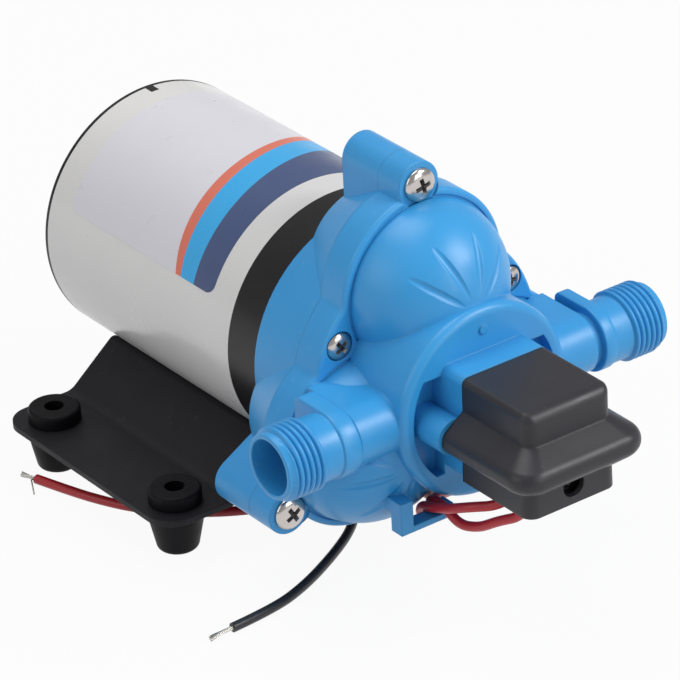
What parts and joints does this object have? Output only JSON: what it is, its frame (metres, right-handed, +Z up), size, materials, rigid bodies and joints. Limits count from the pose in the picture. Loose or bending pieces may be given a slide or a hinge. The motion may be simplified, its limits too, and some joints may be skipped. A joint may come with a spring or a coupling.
{
  "type": "diaphragm pump",
  "caption": "Electric diaphragm water pump for caravans: round motor on a rubber-footed base, lobed pump head with threaded side ports, and a pressure switch on the front.",
  "frame": {"origin": "on the floor, midway between the four foot holes", "axes": "+Z up, -Y towards the pressure switch at the front, ports along X, motor axis along Y"},
  "size_m": [0.1457, 0.2026, 0.117],
  "materials": {
    "base": "black powder coat, satin",
    "rubber": "moulded rubber, satin",
    "black_rubber": "moulded rubber",
    "boot_rubber": "moulded soft PVC, satin",
    "can": "light grey plated steel, satin",
    "black_steel": "black paint, satin",
    "ferrite": "sintered ferrite",
    "brown_plastic": "glass-filled nylon",
    "carbon": "pressed carbon",
    "steel": "stainless",
    "core_steel": "stacked laminations",
    "bearing_steel": "ground",
    "screw_steel": "polished stainless",
    "bronze": "sintered bronze",
    "brass": "bright brass",
    "copper": "enamelled copper",
    "tinned_copper": "tinned strands",
    "blue_plastic": "moulded nylon, satin gloss",
    "white_plastic": "moulded nylon",
    "black_plastic": "moulded nylon",
    "red_wire": "PVC insulation",
    "black_wire": "PVC insulation"
  },
  "bodies": {
    "pump_body": {"base_plate": "base", "base_screws": "steel", "foot_front_left": "rubber", "foot_front_right": "rubber", "foot_rear_left": "rubber", "foot_rear_right": "rubber", "motor_can": "can", "rear_end_cap": "black_steel", "front_end_bell": "black_steel", "motor_magnets": "ferrite", "brush_plate": "brown_plastic", "carbon_brushes": "carbon", "brush_springs": "steel", "rear_bearing": "bronze", "front_bearing": "bearing_steel", "lead_grommet": "rubber", "drive_housing": "blue_plastic", "diaphragm": "black_rubber", "valve_plate": "white_plastic", "inlet_valves": "black_rubber", "outlet_valve": "black_rubber", "head_seal": "black_rubber", "pump_head": "blue_plastic", "head_screws_long": "screw_steel", "head_screws_short": "screw_steel", "inlet_fitting": "blue_plastic", "outlet_fitting": "blue_plastic", "port_o_rings": "black_rubber", "inlet_screen": "steel", "check_valve_spring": "steel", "switch_boot": "boot_rubber", "switch_body": "black_plastic", "switch_screws": "steel", "switch_diaphragm": "black_rubber", "switch_spring": "steel", "microswitch": "black_plastic", "switch_terminals": "brass", "switch_link_lead": "red_wire", "supply_lead_front": "red_wire", "red_lead": "red_wire", "black_lead": "black_wire", "red_lead_end": "tinned_copper", "black_lead_end": "tinned_copper"},
    "rotor": {"motor_shaft": "steel", "armature_core": "core_steel", "armature_windings": "copper", "commutator": "copper", "cam": "steel", "cam_set_screw": "steel"},
    "wobble_drive": {"cam_bearing": "bearing_steel", "wobble_plate": "brown_plastic", "piston_caps": "white_plastic", "piston_screws": "steel"},
    "check_poppet": {"check_valve_poppet": "white_plastic"},
    "switch_piston": {"switch_plunger": "white_plastic"},
    "spring_carrier": {"spring_nut": "brass"},
    "pressure_screw": {"switch_adjuster": "screw_steel"}
  },
  "joints": [
    {"name": "rotor_spin", "type": "hinge", "parent": "pump_body", "child": "rotor", "pos_m": [0, -0.0342, 0.055], "axis": [0, 1, 0], "continuous": true},
    {"name": "wobble", "type": "hinge", "parent": "rotor", "child": "wobble_drive", "pos_m": [0, -0.0557, 0.055], "axis": [0, 0.9986, 0.0523], "continuous": true, "deforming": ["diaphragm"]},
    {"name": "check_valve", "type": "slide", "parent": "pump_body", "child": "check_poppet", "axis": [1, 0, 0], "range_m": [0, 0.003], "stiffness_N_per_m": 20, "springref_m": -0.0005, "deforming": ["check_valve_spring"]},
    {"name": "switch_plunger_slide", "type": "slide", "parent": "pump_body", "child": "switch_piston", "axis": [0, -1, 0], "range_m": [0, 0.0012], "stiffness_N_per_m": 200, "springref_m": -0.0003, "deforming": ["switch_spring"]},
    {"name": "adjuster_turn", "type": "hinge", "parent": "pump_body", "child": "pressure_screw", "pos_m": [0, -0.1322, 0.0454], "axis": [0, 1, 0], "range_deg": [-361, 361]},
    {"name": "spring_carrier_slide", "type": "slide", "parent": "pump_body", "child": "spring_carrier", "axis": [0, 1, 0], "range_m": [-0.0005, 0.0005], "deforming": ["switch_spring"]}
  ],
  "couplings": [
    {"joint": "wobble", "follows": "rotor_spin", "ratio": -1},
    {"joint": "adjuster_turn", "follows": "spring_carrier_slide", "rad_per_m": 12566}
  ]
}
